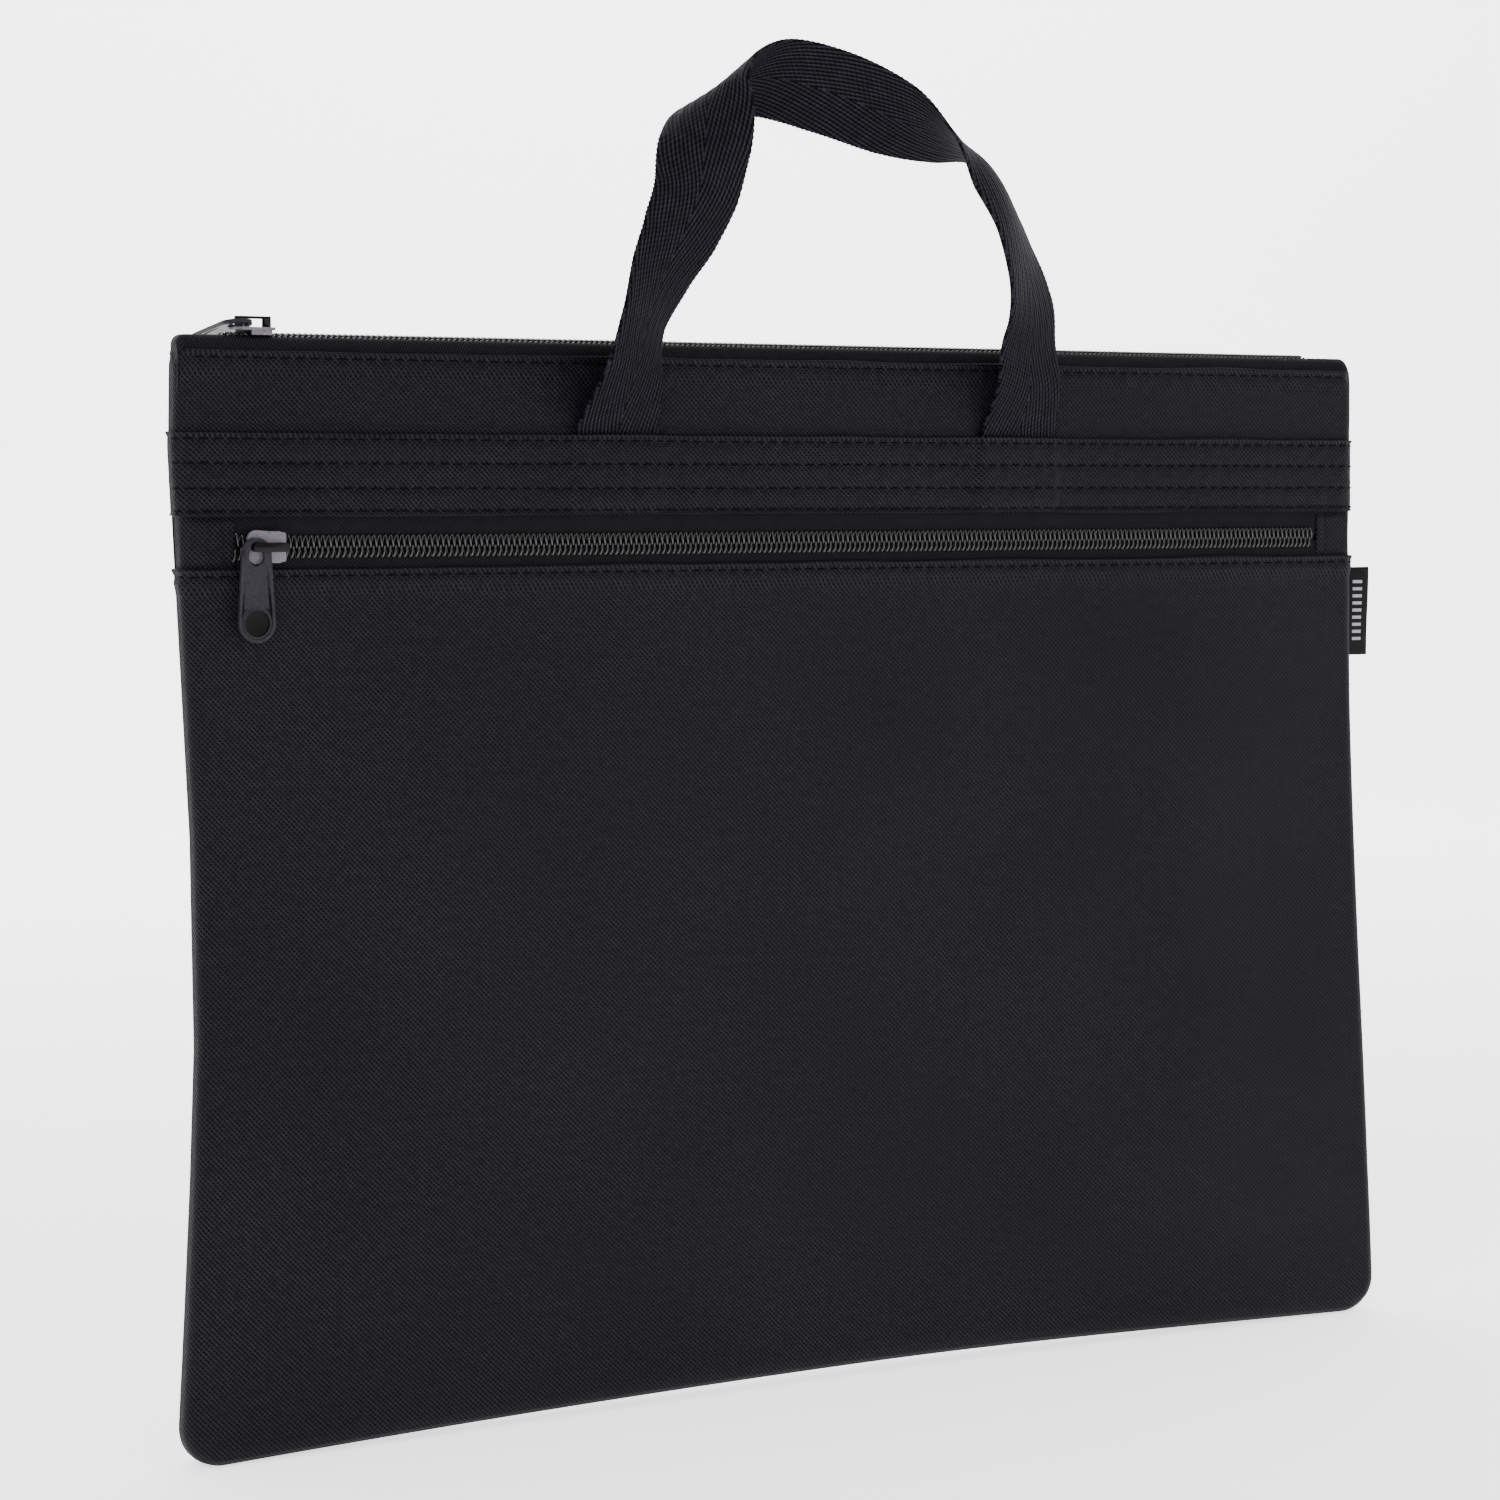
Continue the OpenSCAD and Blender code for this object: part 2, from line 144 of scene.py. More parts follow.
def slab(name, outer, inner, uvs, turn=False):
    """A closed thin piece between two grids of points, with rounded rims."""
    rows, columns = outer.shape[:2]
    count = rows * columns
    grid = np.arange(count).reshape(rows, columns)
    ring = np.concatenate([grid[0, :-1], grid[:-1, -1], grid[-1, :0:-1], grid[:0:-1, 0]])
    inside = np.clip(np.arange(rows), 1, rows - 2)[:, None] * columns
    inside = inside + np.clip(np.arange(columns), 1, columns - 2)[None, :]
    out, inn = outer.reshape(-1, 3), inner.reshape(-1, 3)
    away = (out - out[inside.ravel()])[ring]
    away /= np.linalg.norm(away, axis=1, keepdims=True) + 1e-9
    thick = np.linalg.norm(out[ring] - inn[ring], axis=1, keepdims=True)
    rim = (out[ring] + inn[ring]) / 2 + away * thick * 0.4
    k = np.arange(len(ring))
    n = (k + 1) % len(ring)
    upper = np.stack([ring[k], ring[n], 2 * count + n, 2 * count + k], -1)
    lower = np.stack([2 * count + k, 2 * count + n, count + ring[n], count + ring[k]], -1)
    faces = np.concatenate([quads(rows, columns), quads(rows, columns, count, True),
                            upper[:, ::-1], lower[:, ::-1]])
    flat = uvs.reshape(-1, 2)
    if turn:
        faces = faces[:, ::-1]
    return mesh_object(name, np.concatenate([out, inn, rim]), faces,
                       np.concatenate([flat, flat, flat[ring]]))


def tube(path, radius, sides=6):
    """Points and faces of a tube along a path, its ends left open."""
    path = np.asarray(path, float)
    along = np.gradient(path, axis=0)
    along /= np.linalg.norm(along, axis=1, keepdims=True)
    helper = np.where(np.abs(along[:, 2:3]) > 0.8, [[1.0, 0.0, 0.0]], [[0.0, 0.0, 1.0]])
    one = np.cross(along, helper)
    one /= np.linalg.norm(one, axis=1, keepdims=True)
    two = np.cross(along, one)
    angle = np.arange(sides) * 2 * math.pi / sides
    ring = one[:, None] * np.cos(angle)[None, :, None] + two[:, None] * np.sin(angle)[None, :, None]
    radius = np.broadcast_to(np.asarray(radius, float), len(path))
    points = path[:, None] + ring * radius[:, None, None]
    return points.reshape(-1, 3), quads(len(path), sides, close=True)


def gather(name, parts):
    """One piece from several (points, faces) parts."""
    points, faces, start = [], [], 0
    for p, f in parts:
        points.append(p)
        faces.append(f + start)
        start += len(p)
    return mesh_object(name, np.concatenate(points), np.concatenate(faces))


# ---------------------------------------------------------------- fabric of the case
def side_profile(t):
    """Outward reach, height above the mid plane and turn of the normal, t past the start of the edge."""
    a = np.clip(t, 0, FLAT_LIMIT) / EDGE_ROUND
    w = np.clip(t - FLAT_LIMIT, 0, WALL)
    s = np.clip(t - FLAT_LIMIT - WALL, 0, SEAM_LIMIT) / SEAM_ROUND
    i = np.clip(t - FLAT_LIMIT - WALL - SEAM_LIMIT, 0, None)
    reach = np.minimum(t, 0) + EDGE_ROUND * np.sin(a) - SEAM_ROUND * (1 - np.cos(s)) - i
    height = FACE_Y - EDGE_ROUND * (1 - np.cos(a)) - w - SEAM_ROUND * np.sin(s) + 0.05 * (s > 1.5)
    return reach, height, a + s


def fabric(u, v, corners):
    """Place and normal of the case's skin at the unfolded position u, v, front side."""
    side = np.sign(u)
    a = np.clip(np.abs(u) - CENTRE_X, 0, None)
    b = np.clip(CORNER - v, 0, None) if corners else np.zeros_like(u)
    r = np.maximum(a, b)
    share = np.minimum(a, b) / np.maximum(r, 1e-9)
    angle = np.where(a >= b, share * math.pi / 4, math.pi / 2 - share * math.pi / 4)
    dx, dz = side * np.cos(angle), -np.sin(angle)
    reach, height, turn = side_profile(r - (CORNER - EDGE_ROUND))
    out = CORNER - EDGE_ROUND + reach
    x = np.where(a > 0, side * CENTRE_X, u) + np.where(r > 0, dx * out * (a > 0), 0)
    z = np.where(b > 0, CORNER, v) + np.where(b > 0, dz * out, 0)
    normal = np.stack([dx * np.sin(turn) * (a > 0), -np.cos(turn), dz * np.sin(turn) * (b > 0)], -1)
    x = x - side * smooth(np.abs(x), 170, 190) * (
        2 - np.sqrt(np.clip(4 - np.clip(z - (TOP_Z - 2), 0, 2) ** 2, 0, 4)))
    flat_x = np.where(a > 0, side * CENTRE_X + dx * r, u)
    flat_z = np.where(b > 0, CORNER + dz * r, v)
    return np.stack([x, -height, z], -1), normal, np.stack([flat_x, flat_z], -1)


def hem_path(low, high, low_fold, high_fold, fold, step, fine):
    """Height, depth and turn of a strip of cloth that folds over at its lower and upper edge."""
    middle = []
    if low_fold:
        middle += [(low + fold + low_fold - d, 2 * fold, -math.pi) for d in np.arange(0, low_fold, 1.0)]
        middle += [(low + fold - fold * math.sin(a), fold * (1 + math.cos(a)), a - math.pi)
                   for a in np.linspace(0, math.pi, 9)[:-1]]
    start, end = low + (fold if low_fold else 0), high - (fold if high_fold else 0)
    z = start
    while z < end - 0.3:
        middle.append((z, 0.0, 0.0))
        z += fine if any(abs(z - f) < 3.5 for f in STITCHED) else step
    middle.append((end, 0.0, 0.0))
    if high_fold:
        middle += [(high - fold + fold * math.sin(a), fold * (1 - math.cos(a)), a)
                   for a in np.linspace(0, math.pi, 9)[1:]]
        middle += [(high - fold - d, 2 * fold, math.pi) for d in np.arange(1.0, high_fold, 1.0)]
    return np.array(middle)


def columns():
    """Unfolded positions across the case, from seam to seam, close together where the cloth turns."""
    half = np.concatenate([np.arange(0, 184, 1.0), np.arange(184, U_END - ALLOWANCE, 0.5),
                           np.linspace(U_END - ALLOWANCE, U_END, 6)])
    return np.concatenate([-half[:0:-1], half])


def puckers(u, z, rows, depth):
    """Cloth drawn in along rows of stitches, most at the needle holes."""
    total = np.zeros_like(u)
    for i, row in enumerate(rows):
        holes = 0.7 + 0.3 * np.cos(2 * math.pi * u / STITCH + i)
        total -= depth * hump(z, row, 1.0) * holes * (1 + 0.35 * rough(u, z, 23, i + 3))
        ripple = np.cos(2 * math.pi * u / STITCH / 2 + 2.1 * rough(u, z, 31, i))
        total += 0.12 * hump(z, row - 2.2, 1.6) * ripple
    return total


def panel(name, us, path, lift, corners=False, back=False, cloth=CLOTH, edge_wave=0.0):
    """A closed piece of cloth on the case's skin; lift(u, z) is how far it stands off."""
    u, z = np.meshgrid(us, path[:, 0])
    depth, turn = path[:, 1][:, None], path[:, 2][:, None]
    place, normal, flat = fabric(u, z, corners)
    place = place + normal * (lift(u, z) - depth)[..., None]
    up = np.array([0.0, 0.0, 1.0])
    skin = normal * np.cos(turn)[..., None] + up * np.sin(turn)[..., None]
    if edge_wave:
        place[..., 2] += edge_wave * np.clip(np.abs(turn), 0, 1) * rough(u, z * 0, 26, 5)
    inner = place - skin * cloth
    along = np.cumsum(np.linalg.norm(np.gradient(path[:, :2], axis=0), axis=1))[:, None]
    flat[..., 1] = along + np.where(z < CORNER, flat[..., 1] - z, 0)
    if back:
        place, inner = place * [1, -1, 1], inner * [1, -1, 1]
    return slab(name, warp(place), warp(inner), flat, turn=back)


def bulge(u, z, low_z, high_z, amount, seed):
    """Slack between the edges, with a few broad soft waves."""
    inside = smooth(z, low_z, low_z + 60) * (1 - smooth(z, high_z - 60, high_z))
    inside = (1 - smooth(np.abs(u), 120, 186)) * inside
    waves = 0.9 * rough(u, z, 85, seed) + 0.35 * rough(u, z * 0.6, 34, seed + 2)
    near = (1 - smooth(np.abs(u), 165, 188)) * smooth(z, 4, 30) * (1 - smooth(z, high_z - 26, high_z))
    return amount * inside + waves * near


def top_hem(u, z):
    """Stand-off of the folded top edge and its row of stitches."""
    return puckers(u, z, STITCHED[:1], PUCKER) + 0.55 * hump(z, TOP_Z, 0.9)


def front_lift(u, z):
    """Stand-off of the strip above the pocket zip, as are the next three of their pieces."""
    return top_hem(u, z) + 0.35 * rough(u, z, 40, 9) * smooth(z, 270, 276)


def pocket_lift(u, z):
    hem = 0.6 * smooth(z, 227.5, 230.5) + 0.5 * hump(z, POCKET_TOP, 0.9)
    return bulge(u, z, 0, 228, 2.2, 1) + hem + puckers(u, z, STITCHED[5:], PUCKER_LOW)


def back_lift(u, z):
    return bulge(u, z, 0, 286, 2.0, 14) + top_hem(u, z)


def band_lift(u, z):
    pads = sum(1 - smooth(np.abs(u - c), w - 2.2, w + 1.6) for c, w in PADS)
    edges = 0.65 * hump(z, BAND_HIGH, 0.9) + 0.5 * hump(z, BAND_LOW, 0.9)
    level = 0.95 - 0.6 * smooth(np.abs(u), 182, 190) + 1.45 * pads * smooth(z, BAND_LOW, BAND_LOW + 3)
    return np.maximum(level + edges + puckers(u, z, STITCHED[1:5], PUCKER), BAND_LEAST)


us = columns()
base_v = CORNER - (U_END - CENTRE_X)    # unfolded place of the seam along the base
front = panel("front_panel_cloth", us, hem_path(BAND_LOW, TOP_Z, 0, 8, 0.8, 2.0, 0.7), front_lift,
              edge_wave=HEM_WAVE)
pocket = panel("pocket_panel_cloth", us, hem_path(base_v, POCKET_TOP, 0, 4, 0.6, 2.5, 0.7), pocket_lift,
               corners=True, cloth=0.55, edge_wave=HEM_WAVE)
back = panel("back_panel_cloth", us, hem_path(base_v, TOP_Z, 0, 8, 0.8, 2.5, 0.8), back_lift,
             corners=True, back=True, edge_wave=HEM_WAVE)
band = panel("handle_band_cloth", us[np.abs(us) < U_END - ALLOWANCE],
             hem_path(BAND_LOW, BAND_HIGH, 3, 4, 0.42, 1.0, 0.6), band_lift, cloth=0.38, edge_wave=HEM_WAVE)


def tab_lift(u, z):
    """Stand-off of the pocket zip's end tabs, which lie over the ends of the tape."""
    over_tape = smooth(z, 234.2, 236) * (1 - smooth(z, 245.4, 247.2)) * (1 - smooth(np.abs(u), 186.5, 189.5))
    sewn = 0.3 * hump(np.abs(u), 178.2, 0.5)
    return -0.35 + 0.6 * over_tape + 0.12 * rough(u, z, 9, 21) - sewn


tab_us = np.concatenate([np.arange(TAB_START, 184, 0.7), np.arange(184, U_END - ALLOWANCE, 0.5)])
pocket_tabs = []
for name, side in (("left", -1), ("right", 1)):
    pocket_tabs.append(panel("pocket_end_tab_cloth_" + name, np.sort(tab_us * side),
                             hem_path(POCKET_TOP - 1, 248.6, 0, 0, 0.4, 0.6, 0.6), tab_lift, cloth=0.7))


# ---------------------------------------------------------------- inside
def strip(name, xs, path, cloth, ripple=None):
    """A closed strip of cloth: a y, z path carried along x; ripple(x, s) is how far it stands off."""
    path = np.array(path, float)
    along = np.gradient(path, axis=0)
    along /= np.linalg.norm(along, axis=1, keepdims=True)
    normal = np.stack([along[:, 1], -along[:, 0]], -1)
    length = np.concatenate([[0], np.cumsum(np.linalg.norm(np.diff(path, axis=0), axis=1))])
    x, y = np.meshgrid(xs, path[:, 0])
    z = np.meshgrid(xs, path[:, 1])[1]
    s = np.meshgrid(xs, length)[1]
    rise = ripple(x, s) if ripple else np.zeros_like(x)
    outer = np.stack([x, y + normal[:, :1] * rise, z + normal[:, 1:] * rise], -1)
    inner = outer - np.concatenate([np.zeros((len(path), 1)), normal], 1)[:, None] * cloth
    return slab(name, warp(outer), warp(inner), np.stack([x, s], -1), turn=True)


def rounded(points, radius, step=0.4):
    """A path through the points with its corners rounded."""
    points = [np.array(p, float) for p in points]
    found = [points[0]]
    for a, b, c in zip(points, points[1:], points[2:]):
        r = min(radius, np.linalg.norm(a - b) / 2, np.linalg.norm(c - b) / 2)
        p, q = b + (a - b) / np.linalg.norm(a - b) * r, b + (c - b) / np.linalg.norm(c - b) * r
        found += [(1 - t) ** 2 * p + 2 * t * (1 - t) * b + t * t * q for t in np.linspace(0, 1, 6)]
    found.append(points[-1])
    dense = [found[0]]
    for a, b in zip(found, found[1:]):
        n = max(1, int(np.linalg.norm(b - a) / step))
        dense += [a + (b - a) * k / n for k in range(1, n + 1)]
    return dense


divider_path = rounded([(-1.35, 4), (-1.35, POCKET_TOP), (-5.6, 261.5)], 6, 4)
divider = strip("pocket_divider_cloth", np.linspace(-184.5, 184.5, 120), divider_path, 0.5)

# a binding folded over the seam allowance: distance in from the seam, and depth
BIND_IN = np.array([3.2, 5, 7, 8.6, 9.05, 9.2, 9.05, 8.6, 7, 5, 3.2])
BIND_Y = np.array([-1.3, -1.3, -1.3, -1.2, -0.8, 0, 0.8, 1.2, 1.3, 1.3, 1.3])
BIND_CLOTH = 0.3
bindings = []
for name, side in (("left", -1), ("right", 1)):
    D, Z = np.meshgrid(BIND_IN, np.linspace(16, 277, 80))
    Y = np.broadcast_to(BIND_Y, D.shape)
    outer = np.stack([side * (SIDE_X - D), Y, Z], -1)
    inner = np.stack([side * (SIDE_X - D + BIND_CLOTH), Y * 0.7, Z], -1)
    bindings.append(slab("binding_cloth_" + name, warp(outer), warp(inner), np.stack([D, Z], -1),
                         turn=side < 0))
X, D = np.meshgrid(np.linspace(-172, 172, 100), BIND_IN)
Y = np.broadcast_to(BIND_Y[:, None], D.shape)
outer = np.stack([X, Y, D], -1)
inner = np.stack([X, Y * 0.7, D - BIND_CLOTH], -1)
bindings.append(slab("binding_cloth_bottom", warp(outer), warp(inner), np.stack([X, D], -1)))


# ---------------------------------------------------------------- zips
def coil(name, near, low, side, upright):
    """One half of a zip: a nylon helix. near is the chain's middle, low its base, side which half it is."""
    wire, pitch, per = 0.36, 1.6, 18    # radius, length of a turn and points in a turn
    turns = (2 * ZIP_END - 2) / pitch
    a = np.arange(0, int(turns * per)) * 2 * math.pi / per + (math.pi if side > 0 else 0)
    x = -ZIP_END + 1 + pitch * (a - a[0]) / (2 * math.pi)
    across = 1.3 + 1.5 * np.cos(a) + 0.1 * np.cos(3 * a)
    height = low + 0.84 + 0.5 * np.sin(a)
    open_end = 1.0 * (1 - smooth(x, -ZIP_END, -170.5))
    across = side * (across + open_end)
    path = np.stack([x, across, height], -1) if upright else np.stack([x, -height, near + across], -1)
    return gather(name, [tube(path, wire)])


def front_ripple(x, s):
    """Waves in the part of the front tape that shows beside the coil."""
    return 0.12 * rough(x, s, 12, 31) * smooth(s, 10, 13) * (1 - smooth(s, 15.0, 16.5))


def back_ripple(x, s):
    """The same waves, counted from the other end of the back tape's path."""
    return front_ripple(x, 17.2 - s)


# undersides of the coils: height of the main one, distance of the pocket one from the mid plane
MAIN_COIL_LOW, POCKET_COIL_LOW = 293.1, 6.2
MAIN_TAPE_Z, POCKET_TAPE_Y = 293.05, -6.15
main_coils = [coil("main_coil_" + n, 0, MAIN_COIL_LOW, s, True)
              for n, s in (("front_helix", -1), ("back_helix", 1))]
pocket_coils = [coil("pocket_coil_" + n, ZIP_Z, POCKET_COIL_LOW, s, False)
                for n, s in (("lower_helix", -1), ("upper_helix", 1))]

tape_xs = np.linspace(-187, 187, 375)
tape_path = [(-5.35, 278), (-5.35, 290.4), (-4.2, 292.6), (-2.8, MAIN_TAPE_Z), (-0.55, MAIN_TAPE_Z)]
back_path = [(-y, z) for y, z in reversed(tape_path)]
main_front = strip("main_tape_cloth_front", tape_xs, rounded(tape_path, 1.6), 0.55, front_ripple)
main_back = strip("main_tape_cloth_back", tape_xs, rounded(back_path, 1.6), 0.55, back_ripple)
pocket_xs = np.linspace(-186, 186, 373)
upper_path = rounded([(POCKET_TAPE_Y, 240.15), (POCKET_TAPE_Y, 256)], 1)
lower_path = rounded([(POCKET_TAPE_Y, 226), (POCKET_TAPE_Y, 238.85)], 1)
pocket_upper = strip("pocket_tape_cloth_upper", pocket_xs, upper_path, 0.5)
pocket_lower = strip("pocket_tape_cloth_lower", pocket_xs, lower_path, 0.5)

# the main zip's end tabs: a cap over both tapes that turns down at the side of the case
TAB_ROUND, TAB_TOP, TAB_LOW, TAB_SIDE, TAB_CLOTH = 2.8, 293.8, 279.5, 186.6, 0.7
cap = np.array(rounded([(-5.2, TAB_LOW), (-5.2, 291.4), (-3.8, TAB_TOP), (3.8, TAB_TOP), (5.2, 291.4),
                        (5.2, TAB_LOW)], 1.8))
level = np.arange(TAB_START, TAB_SIDE, 0.4)
bend = np.linspace(0, math.pi / 2, 9)[1:]
reach = np.concatenate([level, TAB_SIDE + TAB_ROUND * np.sin(bend),
                        [TAB_SIDE + TAB_ROUND] * 11])
drop = np.concatenate([np.zeros(len(level)), TAB_ROUND * (1 - np.cos(bend)), TAB_ROUND + np.arange(1, 12)])
down = smooth(drop, 0, TAB_ROUND)
main_tabs = []
for name, side in (("left", -1), ("right", 1)):
    X, Y = np.meshgrid(reach, cap[:, 0])
    Z = np.maximum(cap[:, 1][:, None] - drop, TAB_LOW) + 0.2 * rough(X, Y * 3, 7, 17)
    outer = np.stack([side * X, Y, Z], -1)
    inner = outer + np.stack([-side * TAB_CLOTH * down + 0 * X, -np.sign(Y) * TAB_CLOTH * (np.abs(Y) > 4.4),
                              -TAB_CLOTH * (np.abs(Y) < 5.1) * (1 - down)], -1)
    main_tabs.append(slab("main_end_tab_cloth_" + name, warp(outer), warp(inner), np.stack([X, Z + Y], -1),
                          turn=side > 0))


# ---------------------------------------------------------------- handle
# the webbing's route: x, y, z in millimetres, then its turn and its rise in degrees
ROUTE = [
    (-64, -8.1, 269.4, 0, 0), (-63.5, -12, 278, -13, 0), (-62.5, -16.5, 288, -28, 0), (-60, -17, 300, -34, 0),
    (-55, -17, 313, -20, 0), (-50, -18, 324, -5, 0), (-46, -19, 335, 5, 0), (-43, -18, 348, 25, 5),
    (-35, -12, 362, 45, 35), (-18, -8, 368, 75, 50), (0, -11, 365, 85, 60), (18, -16, 358, 105, 50),
    (31, -21, 350, 120, 20), (40, -24, 343, 130, -10), (49, -25, 332, 135, -10), (56, -24, 319, 140, -10),
    (62, -20, 306, 150, 0), (65, -15, 294, 160, 0), (67, -12, 282, 172, -5), (66, -8.1, 269.4, 180, 0)]
SEWN_LOW, SEWN_HIGH, SEWN_Y = 252, 262, -7.8   # the ends sewn under the band
WEB_WIDTH, WEB_THICK = 25.0, 1.4
WEB_HALF = WEB_WIDTH / 2
FOLDS = [(-2.0, 107.0, 24.0), (-3.5, 203.0, 20.0)]     # bow of the webbing, its place along it and its reach
SETTLE = (0.8, 0.0, -1.0)       # how far the top of the webbing settles from its route


def route(steps):
    """Places and crosswise directions along the webbing."""
    left, right = ROUTE[0][0], ROUTE[-1][0]
    rows = np.array([(left, SEWN_Y, SEWN_LOW, 0, 0), (left, SEWN_Y, SEWN_HIGH, 0, 0), *ROUTE,
                     (right, SEWN_Y, SEWN_HIGH, 180, 0), (right, SEWN_Y, SEWN_LOW, 180, 0)], float)
    padded = np.concatenate([2 * rows[:1] - rows[1:2], rows, 2 * rows[-1:] - rows[-2:-1]])
    found = []
    for i in range(len(rows) - 1):
        a, b, c, d = padded[i:i + 4]
        for t in np.arange(steps) / steps:
            found.append(0.5 * (2 * b + (c - a) * t + (2 * a - 5 * b + 4 * c - d) * t ** 2
                                + (3 * b - a - 3 * c + d) * t ** 3))
    found.append(rows[-1])
    found = np.array(found)
    middle, turn, rise = found[:, :3], np.radians(found[:, 3]), np.radians(found[:, 4])
    across = np.stack([np.cos(turn) * np.cos(rise), -np.sin(turn) * np.cos(rise), np.sin(rise)], -1)
    along = np.gradient(middle, axis=0)
    along /= np.linalg.norm(along, axis=1, keepdims=True)
    across -= along * (across * along).sum(1, keepdims=True)
    across /= np.linalg.norm(across, axis=1, keepdims=True)
    return middle, across, along


middle, across, along = route(40)
facing = np.cross(along, across)
t = np.concatenate([[-1, -0.985, -0.95], np.linspace(-0.9, 0.9, 37), [0.95, 0.985, 1]]) * (WEB_HALF - 0.25)
length = np.concatenate([[0], np.cumsum(np.linalg.norm(np.diff(middle, axis=0), axis=1))])
L, T = np.meshgrid(length, t, indexing="ij")
free = smooth(length, 24, 60) * (1 - smooth(length, length[-1] - 60, length[-1] - 24))
hollow = (0.9 * free)[:, None] * ((T / WEB_HALF) ** 2 - 0.4)
ribs = 0.18 * np.cos(T * 2 * math.pi / 3.1) * (np.abs(T) < 11.5) * 0.35
bow = sum(amount * hump(length, place, reach) for amount, place, reach in FOLDS)
swell = 0.12 * rough(L, T, 9, 41) + bow[:, None] * (1 - (T / WEB_HALF) ** 2)
T = T + np.sign(T) * 0.16 * np.cos(2 * math.pi * L / 1.5) * (np.abs(T) > 11.9)
half = (WEB_THICK / 2) * (1 - 0.35 * smooth(np.abs(T), 11.3, 12.4))
base = middle[:, None] + across[:, None] * T[..., None] + facing[:, None] * (hollow + ribs + swell)[..., None]
base = base + smooth(base[..., 2:], 285, 350) * SETTLE
thick = facing[:, None] * half[..., None]
handle = slab("webbing_handle", base + thick, base - thick, np.stack([T, L], -1), turn=True)


# ---------------------------------------------------------------- label
# a folded loop: its front half, the fold at its end and its back half
LABEL_ROOT, LABEL_END, LABEL_LOW, LABEL_HIGH, LABEL_HALF = 187.5, 199, 203, 230, 0.42
bend = np.linspace(0.2, math.pi - 0.2, 8)
lx = np.concatenate([np.linspace(LABEL_ROOT, LABEL_END, 20), LABEL_END + 0.45 * np.sin(bend),
                     np.linspace(LABEL_END, LABEL_ROOT, 20)])
ly = np.concatenate([np.full(20, -LABEL_HALF), -LABEL_HALF * np.cos(bend), np.full(20, LABEL_HALF)])
LX, LZ = np.meshgrid(lx, np.linspace(LABEL_LOW, LABEL_HIGH, 40))
LY = np.broadcast_to(ly, LX.shape)
curl = -smooth(LX, SIDE_X, LABEL_END) * (0.6 + 1.2 * smooth(LZ, LABEL_LOW, LABEL_HIGH))
outer = np.stack([LX, LY + curl, LZ], -1)
inner = np.stack([LX - 0.2 * (LX > LABEL_END), curl + LY * 0.4, LZ], -1)
label = slab("side_label_satin", warp(outer), warp(inner), np.stack([LX - SIDE_X, LZ - LABEL_LOW], -1))


# ---------------------------------------------------------------- thread
def stitches(name, row, lift, reach, seed, back=False):
    """One row of stitches between -reach and reach, each drawn into the cloth at both ends."""
    parts = []
    s = np.linspace(-1, 1, 9)
    for k in range(int(2 * reach / STITCH)):
        centre = -reach + (k + 0.5) * STITCH
        jitter = noise.noise(Vector((k * 0.37, seed, row)))
        u = centre + s * (1.55 + 0.1 * jitter)
        z = np.full(9, row) + 0.1 * jitter + 0.12 * s * jitter
        place, normal, _ = fabric(u, z, False)
        place = place + normal * (lift(u, z) + STAND * (1 - s ** 2 * 1.6))[:, None]
        if back:
            place = place * [1, -1, 1]
        parts.append(tube(warp(place), 0.24 * np.sqrt(np.clip(1.04 - s ** 4, 0, 1))))
    return gather(name, parts)


HEM_REACH, SIDE_REACH = 186, U_END - ALLOWANCE - 2.5
rows = [stitches("hem_thread_front", STITCHED[0], front_lift, HEM_REACH, 2),
        stitches("hem_thread_back", STITCHED[0], back_lift, HEM_REACH, 3, back=True),
        stitches("pocket_thread", STITCHED[5], pocket_lift, SIDE_REACH, 4)]
rows += [stitches(f"band_thread_{i}", z, band_lift, SIDE_REACH, 5 + i) for i, z in enumerate(STITCHED[1:5])]


# ---------------------------------------------------------------- finishes
class Nodes:
    """A material and short ways to add its nodes."""

    def __init__(self, name):
        self.material = bpy.data.materials.new(name)
        self.material.use_nodes = True
        self.tree = self.material.node_tree
        self.shader = self.tree.nodes["Principled BSDF"]

    def add(self, kind, **inputs):
        node = self.tree.nodes.new(kind)
        for key, value in inputs.items():
            self.put(node.inputs[key.replace("_", " ")], value)
        return node

    def put(self, socket, value):
        if isinstance(value, bpy.types.NodeSocket):
            self.tree.links.new(value, socket)
        else:
            socket.default_value = value

    def math(self, kind, a, b=None, c=None):
        node = self.tree.nodes.new("ShaderNodeMath")
        node.operation = kind
        for socket, value in zip(node.inputs, (a, b, c)):
            if value is not None:
                self.put(socket, value)
        return node.outputs[0]

    def flat(self):
        """Flat cloth position in metres, across and along."""
        node = self.tree.nodes.new("ShaderNodeUVMap")
        node.uv_map = "flat"
        split = self.add("ShaderNodeSeparateXYZ", Vector=node.outputs[0])
        return node.outputs[0], split.outputs[0], split.outputs[1]

    def noise(self, place, scale, detail=2.0):
        return self.add("ShaderNodeTexNoise", Vector=place, Scale=scale, Detail=detail).outputs["Fac"]

    def mix(self, share, a, b):
        node = self.tree.nodes.new("ShaderNodeMix")
        node.data_type = "RGBA"
        self.put(node.inputs[0], share)
        self.put(node.inputs[6], a)
        self.put(node.inputs[7], b)
        return node.outputs[2]

    def bump(self, height, distance, strength=1.0, under=None):
        node = self.add("ShaderNodeBump", Height=height, Distance=distance, Strength=strength)
        if under is not None:
            self.put(node.inputs["Normal"], under)
        return node.outputs[0]

    def range(self, value, low, high, to_low, to_high):
        node = self.add("ShaderNodeMapRange", Value=value)
        for key, number in (("From Min", low), ("From Max", high), ("To Min", to_low), ("To Max", to_high)):
            node.inputs[key].default_value = number
        return node.outputs[0]


def wave(m, value, pitch):
    """-1 to 1, once over each pitch of the value."""
    return m.math("SINE", m.math("MULTIPLY", value, 2 * math.pi / pitch))


